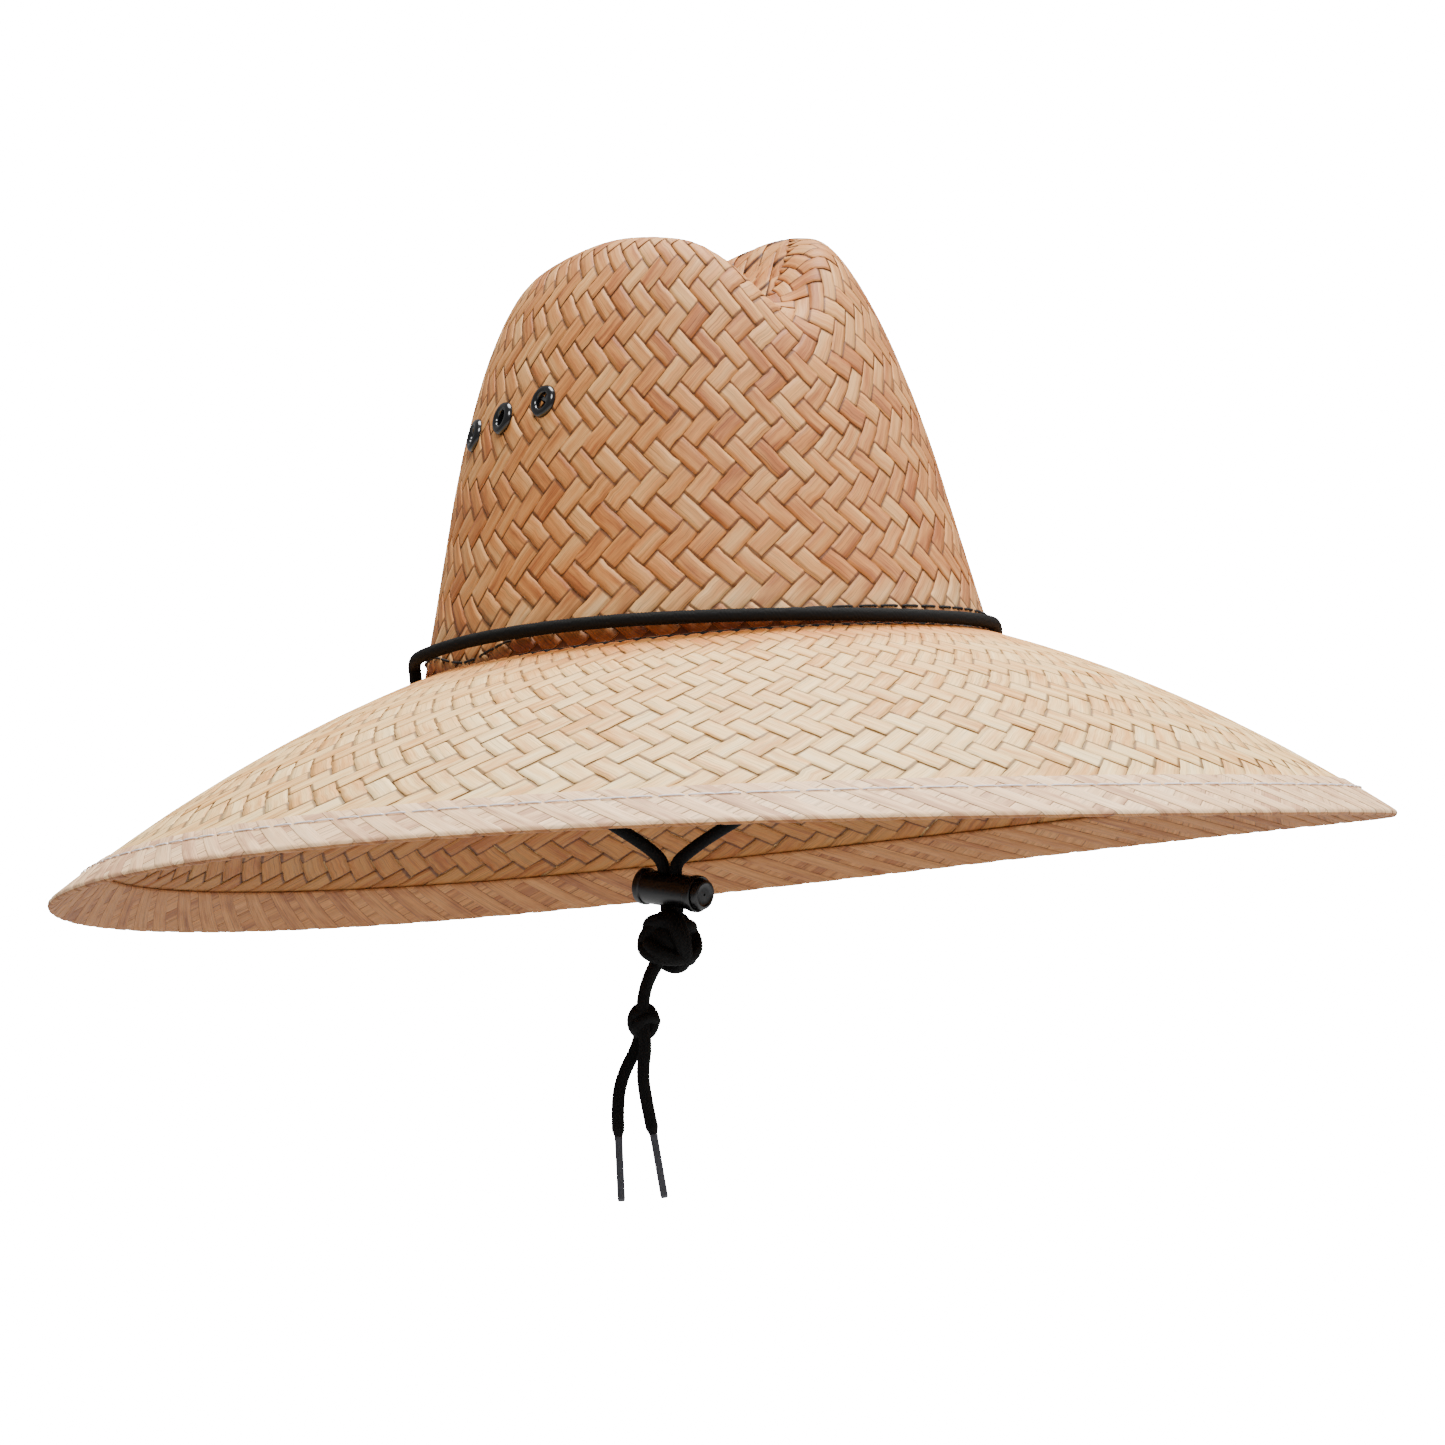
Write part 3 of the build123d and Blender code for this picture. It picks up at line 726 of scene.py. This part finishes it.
# turned pieces: a ring extruded and resized along a profile of (radius, height) in mm
def turned(name, profile, material, frameMatrix, sides=40, smoothAngle=35):
    bpy.ops.object.select_all(action="DESELECT")
    first = profile[0]
    bpy.ops.mesh.primitive_circle_add(vertices=sides, radius=first[0] * mm, location=(0, 0, first[1] * mm))
    piece = bpy.context.object
    piece.name = name
    bpy.ops.object.transform_apply(location=True)
    bpy.ops.object.mode_set(mode="EDIT")
    bpy.ops.mesh.select_all(action="SELECT")
    for (r0, z0), (r1, z1) in zip(profile, profile[1:]):
        bpy.ops.mesh.extrude_edges_move(TRANSFORM_OT_translate={"value": (0, 0, (z1 - z0) * mm)})
        bpy.ops.transform.resize(value=(r1 / r0, r1 / r0, 1), center_override=(0, 0, z1 * mm))
    bpy.ops.mesh.select_all(action="SELECT")
    bpy.ops.mesh.remove_doubles(threshold=0.00001)
    bpy.ops.mesh.normals_make_consistent(inside=False)
    bpy.ops.object.mode_set(mode="OBJECT")
    bpy.ops.object.shade_smooth_by_angle(angle=math.radians(smoothAngle))
    piece.data.materials.append(material)
    piece.data.transform(frameMatrix)
    return piece


def joined(name, pieces):
    bpy.ops.object.select_all(action="DESELECT")
    for piece in pieces:
        piece.select_set(True)
    bpy.context.view_layer.objects.active = pieces[0]
    bpy.ops.object.join()
    pieces[0].name = name
    return pieces[0]


# eyelets: stamped brass, black enamel, glossy
eyeletEnamel = plainMaterial("black enamel on stamped brass eyelet", "#0d0d0f", 0.16, 0.8, 0.06, 0.0, 0.6)
eyeletProfile = [(2.5, -2.6), (2.5, 0.5), (2.7, 1.25), (3.3, 1.85), (4.1, 1.95), (5.0, 1.55), (5.6, 0.7),
                 (5.6, 0.1), (4.8, 0.0), (3.2, 0.0), (3.2, -2.6), (2.5, -2.6)]
washerProfile = [(3.35, -2.1), (5.0, -2.15), (5.1, -2.45), (4.9, -2.75), (3.9, -2.95), (3.0, -3.0),
                 (2.7, -2.7), (2.9, -2.4), (3.35, -2.1)]


def makeEyelets():
    for side, sideName in ((-1, "right"), (1, "left")):
        rings, backs = [], []
        for y, z in eyeletSet["places"]:
            place = crownFrame(y, z, side)
            rings.append(turned("eyelet", eyeletProfile, eyeletEnamel, place, 36, 50))
            backs.append(turned("washer", washerProfile, eyeletEnamel, place, 36, 50))
        for pieceName, pieces, node in (("vent_eyelets_", rings, "eyelets_"),
                                        ("vent_washers_", backs, "eyelet_washers_")):
            dress(joined(pieceName + sideName, pieces), "hat", [node + sideName])


makeEyelets()
print("eyelets set")

# chin cord
cordSet = {"turn": math.radians(-30), "radius": 2.1, "strands": 8, "pitch": 5.2, "around": 32, "step": 0.42,
           "clear": 5.5}


def chinPoint(across, height, forwards=0.0):
    turn = cordSet["turn"]
    return (across * math.cos(turn) + forwards * math.sin(turn),
            across * math.sin(turn) - forwards * math.cos(turn), height)


strandRightRoute = [(96.5, -4.6, 0), (96.5, -8.4, 0), (93.2, -12.8, 0), (84.6, -17.6, 0),
                    (68.0, -25.6, 0), (40.0, -38.2, 0), (13.0, -51.0, 0.2), (-3.0, -59.2, 0.5),
                    (-10.9, -64.2, 1.0), (-15.1, -67.6, 1.5), (-15.1, -71.4, 1.5)]
strandLeftRoute = [(-96.5, -4.6, 0), (-96.5, -8.6, 0), (-92.8, -13.2, 0), (-83.2, -19.2, 0),
                   (-67.5, -29.9, 0), (-44.5, -45.9, 0), (-29.6, -56.6, -0.4), (-22.0, -62.6, -1.0),
                   (-18.7, -66.9, -1.5), (-18.7, -71.4, -1.5)]
endRightRoute = [(-15.1, -71.5, 1.5), (-15.1, -79.5, 1.5), (-15.7, -86.0, 1.7), (-18.0, -92.4, 2.1),
                 (-22.6, -99.2, 2.3), (-26.9, -105.6, 2.4), (-29.0, -112.2, 2.4), (-29.4, -119.3, 2.3),
                 (-28.9, -127.2, 2.2), (-30.8, -136.0, 1.6), (-29.9, -146.6, 1.0), (-28.4, -156.6, 0.8)]
endLeftRoute = [(-18.7, -71.5, -1.5), (-18.7, -79.5, -1.5), (-18.9, -86.0, -1.8), (-20.1, -92.4, -2.2),
                (-23.6, -99.2, -2.4), (-27.1, -105.6, -2.4), (-29.0, -112.2, -2.4), (-29.6, -119.3, -2.4),
                (-31.9, -127.2, -2.2), (-36.9, -135.0, -1.6), (-39.9, -144.6, -1.0), (-40.1, -156.6, -0.8)]
bandRise = [(96.5, -4.5), (96.5, 0.0), (96.9, 3.2)]
bandFall = [(-96.9, 5.3), (-96.5, 0.8), (-96.5, -4.5)]
bandRing = ((-53, 1.6), (-76, 1.5), (-99, 2.7), (-122, 4.5), (-146, 6.5), (-171, 7.0), (165, 6.2))


def bandRoute():
    ringX, ringY = crownShape["halfX"] + cordSet["clear"], crownShape["halfY"] + cordSet["clear"]
    ring = [(ringX * math.cos(math.radians(a)), ringY * math.sin(math.radians(a)), h) for a, h in bandRing]
    return [chinPoint(*p) for p in bandRise] + ring + [chinPoint(*p) for p in bandFall]


def smoothPath(points):
    # the points in mm as the control points of one smooth spline, read back as metres
    curve = bpy.data.curves.new("route", "CURVE")
    curve.dimensions = "3D"
    curve.resolution_u = 24
    spline = curve.splines.new("NURBS")
    spline.points.add(len(points) - 1)
    for handle, point in zip(spline.points, points):
        handle.co = (point[0] * mm, point[1] * mm, point[2] * mm, 1)
    spline.order_u = 3
    spline.use_endpoint_u = True
    holder = bpy.data.objects.new("route", curve)
    bpy.context.scene.collection.objects.link(holder)
    bpy.context.view_layer.update()
    mesh = bpy.data.meshes.new_from_object(holder.evaluated_get(bpy.context.evaluated_depsgraph_get()))
    path = np.array([v.co[:] for v in mesh.vertices])
    bpy.data.objects.remove(holder)
    bpy.data.meshes.remove(mesh)
    return path


def evenPath(path, step):
    run = np.concatenate([[0], np.cumsum(np.linalg.norm(np.diff(path, axis=0), axis=1))])
    count = max(4, int(run[-1] / step))
    along = np.linspace(0, run[-1], count + 1)
    return np.stack([np.interp(along, run, path[:, k]) for k in range(3)], -1), along


def braidTube(name, path, radius, material, taper=(1.0, 1.0)):
    # a round braid: two families of strands wound opposite ways, each over one and under one
    c = cordSet
    points, along = evenPath(path, c["step"] * mm)
    ahead = unit(np.gradient(points, axis=0))
    side = np.zeros_like(points)
    start = Vector(ahead[0]).orthogonal().normalized()
    side[0] = start
    for i in range(1, len(points)):
        side[i] = unit(side[i - 1] - ahead[i] * (side[i - 1] @ ahead[i]))
    third = np.cross(ahead, side)
    angle = np.linspace(0, 2 * np.pi, c["around"], endpoint=False)
    wound = along[:, None] / (c["pitch"] * mm) * (c["strands"] / 2)
    a = angle[None, :] / (2 * np.pi) * c["strands"] / 2 * 2 + wound
    b = angle[None, :] / (2 * np.pi) * c["strands"] / 2 * 2 - wound
    onTop = (np.floor(a) + np.floor(b)) % 2
    ridgeA = 1 - np.abs(2 * (a % 1) - 1) ** 2.5
    ridgeB = 1 - np.abs(2 * (b % 1) - 1) ** 2.5
    ridge = np.where(onTop > 0.5, ridgeA, ridgeB)
    size = np.interp(along / along[-1], [0, 0.03, 0.97, 1], [taper[0], 1, 1, taper[1]])
    r = radius * mm * size[:, None] * (0.89 + 0.15 * ridge)
    ring = points[:, None] + r[..., None] * (np.cos(angle)[None, :, None] * side[:, None]
                                            + np.sin(angle)[None, :, None] * third[:, None])
    rows, cols = ring.shape[:2]
    index = np.arange(rows * cols).reshape(rows, cols)
    nextCol = np.roll(index, -1, 1)
    faces = np.stack([index[:-1], nextCol[:-1], nextCol[1:], index[1:]], -1).reshape(-1, 4).tolist()
    faces.append(index[0][::-1].tolist())
    faces.append(index[-1].tolist())
    uv = np.stack([np.broadcast_to(angle[None, :] / (2 * np.pi), (rows, cols)),
                   np.broadcast_to(along[:, None] * 100, (rows, cols))], -1)
    # red carries the strands' ridges; the cord material paints shade in the valleys
    tint = np.stack([ridge, onTop, 0 * ridge, 0 * ridge + 1], -1)
    return meshPiece(name, ring.reshape(-1, 3), faces, material, uv.reshape(-1, 2), tint.reshape(-1, 4))


def cordCloth(name, colour):
    # braided polyester: dull black filament strands, with painted shade in the valleys between them
    material, tree, shader = newMaterial(name)
    uvNode = addNode(tree, "ShaderNodeUVMap", {"uv_map": "strip"})
    tintNode = addNode(tree, "ShaderNodeVertexColor", {"layer_name": "tint"})
    split = addNode(tree, "ShaderNodeSeparateColor", links={"Color": (tintNode, "Color")})
    stretched = addNode(tree, "ShaderNodeMapping", {"Scale": (40, 60, 1)}, {"Vector": (uvNode, "UV")})
    fibre = addNode(tree, "ShaderNodeTexNoise", {"Scale": 1.0, "Detail": 3.0},
                    {"Vector": (stretched, "Vector")})
    base = rgb(colour)
    ramp = addNode(tree, "ShaderNodeValToRGB", links={"Fac": (split, "Red")})
    # painted shade: the valleys at 0.35 of the colour
    ramp.color_ramp.elements[0].color = [c * 0.35 for c in base[:3]] + [1]
    ramp.color_ramp.elements[1].color = base
    mixed = addNode(tree, "ShaderNodeMix", {"data_type": "RGBA", "blend_type": "MULTIPLY", "Factor": 0.6},
                    {6: (ramp, "Color"), 7: (fibre, "Fac")})
    tree.links.new(mixed.outputs[2], shader.inputs["Base Color"])
    bump = addNode(tree, "ShaderNodeBump", {"Strength": 0.4, "Distance": 0.0002}, {"Height": (fibre, "Fac")})
    tree.links.new(bump.outputs["Normal"], shader.inputs["Normal"])
    shader.inputs["Roughness"].default_value = 0.8
    shader.inputs["Specular IOR Level"].default_value = 0.2
    return material


cordBlack = cordCloth("black cord, braided polyester", "#0c0a0a")


def knot(name, centre, half, loops, radius):
    # turns of cord drawn tight: tilted rings inside the knot's outer size, round a small core
    centre = Vector(chinPoint(*centre))
    turns = []
    for i, (azimuth, tilt, offset, squeeze) in enumerate(loops):
        axis = Vector((math.cos(azimuth) * math.cos(tilt), math.sin(azimuth) * math.cos(tilt),
                       math.sin(tilt)))
        one = axis.orthogonal().normalized()
        two = axis.cross(one)
        path = []
        for n in range(73):
            angle = 2 * math.pi * n / 72
            spoke = (one * math.cos(angle) + two * math.sin(angle) * squeeze
                     + axis * 0.12 * math.sin(2 * angle + i))
            way = spoke.normalized()
            reach = 1 / math.sqrt((way.x / (half[0] - radius)) ** 2 + (way.y / (half[1] - radius)) ** 2
                                  + (way.z / (half[2] - radius)) ** 2)
            ring = way * reach * math.sqrt(max(0.1, 1 - offset ** 2)) * spoke.length ** 0.5
            path.append(centre + ring + axis * offset * (min(half) - radius))
        turns.append(braidTube(name + str(i), np.array([p[:] for p in path]) * mm, radius, cordBlack))
    bpy.ops.object.select_all(action="DESELECT")
    bpy.ops.mesh.primitive_uv_sphere_add(segments=24, ring_count=14, radius=1)
    core = bpy.context.object
    coreSize = [(h - 1.4 * radius) * mm for h in half]
    core.data.transform(Matrix.Translation(centre * mm) @ Matrix.Diagonal((*coreSize, 1)))
    bpy.ops.object.shade_smooth()
    core.data.materials.append(cordBlack)
    return joined(name, turns + [core])


def makeCord():
    routes = {"cord_over_crown": bandRoute()}
    for name, route in (("cord_strand_right", strandRightRoute), ("cord_strand_left", strandLeftRoute),
                        ("cord_tail_right", endRightRoute), ("cord_tail_left", endLeftRoute)):
        routes[name] = [chinPoint(*p) for p in route]
    pieces = {}
    for name, route in routes.items():
        path = smoothPath(route)
        taper = (1.0, 0.55) if "tail" in name else (1.0, 1.0)
        pieces[name] = (braidTube(name, path, cordSet["radius"], cordBlack, taper), path)
    knotBig = knot("knot_under_lock", (-18.5, -93.0), (11.2, 10.2, 10.9),
                   [(0.2, 0.15, 0.0, 1.0), (1.5, 0.5, 0.45, 0.8), (2.6, -0.45, -0.4, 1.05),
                    (0.9, 1.25, 0.6, 0.95), (-0.4, 1.1, -0.6, 0.75), (1.2, -0.75, 0.1, 1.0)], 2.5)
    knotSmall = knot("knot_of_ends", (-29.2, -118.6), (5.6, 5.3, 6.6),
                     [(0.4, 1.2, 0.45, 1.0), (1.9, 0.9, -0.45, 1.0), (1.1, 0.1, 0.0, 0.9)], 2.0)
    return pieces, knotBig, knotSmall


cords, bigKnot, smallKnot = makeCord()
print("cord laid")


# cord lock: moulded acetal barrel with a raised collar at each end, satin black
lockPlastic = plainMaterial("black acetal, injection moulded", "#08080a", 0.3, 0.25, 0.12, 0.0, 0.5)
tipFilm = plainMaterial("dark cord tip, heat-shrunk film", "#3a3c42", 0.22, 0.6, 0.1, 0.0, 0.55)
springSteel = plainMaterial("spring steel wire, drawn", "#b8b8ba", 0.3, 0.4, 0.1, 1.0)
lockSet = {"yaw": math.radians(40), "tip": math.radians(11.8), "across": -16.9, "height": -75.9}
barrelProfile = [(0.4, -12.5), (2.6, -12.5), (3.0, -12.2), (4.6, -12.2), (5.0, -12.5), (5.7, -12.45),
                 (6.15, -12.0), (6.2, -11.4), (6.2, -10.2), (6.05, -9.8), (5.72, -9.6), (5.68, -9.0),
                 (5.68, 8.8), (5.74, 9.4), (6.05, 9.7), (6.2, 10.1), (6.2, 11.9), (6.1, 12.3),
                 (5.8, 12.5), (5.4, 12.4), (5.25, 12.1), (5.2, 10.5), (5.2, -11.4), (0.4, -11.4)]
buttonProfile = [(0.4, -7.4), (5.0, -7.4), (5.05, 13.9), (4.9, 14.5), (4.5, 14.85), (3.9, 14.9), (3.6, 14.6),
                 (3.3, 14.45), (2.2, 14.45), (0.4, 14.5)]


def lockFrame():
    yaw, tip = lockSet["yaw"], lockSet["tip"]
    nose = chinPoint(math.cos(tip) * math.cos(yaw), -math.sin(tip), math.cos(tip) * math.sin(yaw))
    return frameAlong(chinPoint(lockSet["across"], lockSet["height"]), nose)


def cutSlot(piece, size, shift=0.0):
    # the oblong way for the two cords, side by side along the barrel
    bpy.ops.object.select_all(action="DESELECT")
    bpy.ops.mesh.primitive_cube_add(size=1)
    cutter = bpy.context.object
    turn = Matrix.Rotation(cordSet["turn"] - lockSet["yaw"], 4, "Z")
    place = Matrix.Translation(Vector(chinPoint(lockSet["across"], lockSet["height"])) * mm) @ turn
    block = Matrix.Diagonal((*[k * mm for k in size], 1))
    cutter.data.transform(place @ Matrix.Translation((shift * mm, 0, 0)) @ block)
    cut = piece.modifiers.new("slot", "BOOLEAN")
    cut.operation = "DIFFERENCE"
    cut.object = cutter
    cut.solver = "EXACT"
    bpy.ops.object.select_all(action="DESELECT")
    bpy.context.view_layer.objects.active = piece
    bpy.ops.object.modifier_apply(modifier="slot")
    bpy.data.objects.remove(cutter)


def makeLock():
    place = lockFrame()
    barrel = turned("lock_barrel", barrelProfile + [barrelProfile[0]], lockPlastic, place, 48, 40)
    cutSlot(barrel, (9.6, 5.2, 40))
    button = turned("lock_plunger", buttonProfile, lockPlastic, place, 48, 40)
    cutSlot(button, (11.4, 5.2, 40), 0.9)
    dress(barrel, "cord_lock", ["lock_housing"])
    dress(button, "lock_button", ["lock_button"])
    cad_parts["lock_spring"].data.materials.clear()
    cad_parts["lock_spring"].data.materials.append(springSteel)


makeLock()


# tips of the cord: film shrunk on, each pointing from the end of its tail to the point given here
tipEnds = {"right": (-26.3, -177.3, 0.6), "left": (-40.6, -177.6, -0.6)}
tipProfile = [(0.3, -0.6), (1.3, -0.5), (1.42, 0.0), (1.34, 0.6), (1.3, 2.0), (1.28, 19.9), (1.2, 20.6),
              (0.9, 20.9), (0.3, 20.95)]


def makeTips():
    tips = []
    for side, start in (("right", endRightRoute[-1]), ("left", endLeftRoute[-1])):
        a, b = Vector(chinPoint(*start)), Vector(chinPoint(*tipEnds[side]))
        tip = turned("cord_tip_" + side, tipProfile, tipFilm, frameAlong(a, b - a), 24, 50)
        dress(tip, "cord_ends", ["aglet_" + side])
        tips.append(tip)
    return tips


tips = makeTips()
dress(bigKnot, "cord_ends", ["stopper_knot"])
dress(smallKnot, "cord_ends", ["end_knot"])


def declareCord():
    def lay(node):
        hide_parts(node)

    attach(cords["cord_over_crown"][0], "hat")
    lay("chin_cord_band")
    for side in ("right", "left"):
        strand, path = cords["cord_strand_" + side]
        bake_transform(strand)
        lay("chin_strand_" + side)
        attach(cords["cord_tail_" + side][0], "cord_ends")
    lay("cord_end_right")
    lay("cord_end_left")


declareCord()
print("lock, knots and tips in")


# floor, backdrop and soft studio light
studio = {"floorSize": 8, "floorHeight": -0.62, "glow": 0.36, "backdrop": 20.0}


def areaLight(name, place, target, size, power, colour="#ffffff"):
    data = bpy.data.lights.new(name, "AREA")
    data.shape = "DISK"
    data.size = size
    data.energy = power
    data.color = rgb(colour)[:3]
    lamp = bpy.data.objects.new(name, data)
    bpy.context.scene.collection.objects.link(lamp)
    lamp.location = place
    lamp.rotation_euler = (Vector(target) - Vector(place)).to_track_quat("-Z", "Y").to_euler()


def makeStage():
    bpy.ops.object.select_all(action="DESELECT")
    bpy.ops.mesh.primitive_plane_add(size=studio["floorSize"], location=(0, 0, studio["floorHeight"]))
    floor = bpy.context.object
    floor.name = "floor"
    material, tree, shader = newMaterial("white paper floor")
    shader.inputs["Base Color"].default_value = rgb("#c8c8c8")
    shader.inputs["Roughness"].default_value = 0.9
    floor.data.materials.append(material)
    world = bpy.data.worlds.new("studio")
    bpy.context.scene.world = world
    world.use_nodes = True
    tree = world.node_tree
    plain = tree.nodes["Background"]
    plain.inputs["Color"].default_value = (1, 1, 1, 1)
    plain.inputs["Strength"].default_value = studio["glow"]
    white = addNode(tree, "ShaderNodeBackground", {"Color": (1, 1, 1, 1), "Strength": studio["backdrop"]})
    path = addNode(tree, "ShaderNodeLightPath")
    both = addNode(tree, "ShaderNodeMixShader",
                   links={0: (path, "Is Camera Ray"), 1: (plain, 0), 2: (white, 0)})
    tree.links.new(both.outputs[0], tree.nodes["World Output"].inputs["Surface"])
    areaLight("key", (-0.9, -1.7, 1.7), (0, 0, 0), 1.0, 60)
    areaLight("fill", (1.8, -1.2, 0.9), (0, 0, 0), 1.2, 36)
    areaLight("top", (0.3, 0.1, 2.0), (0, 0, 0), 1.4, 96)


makeStage()
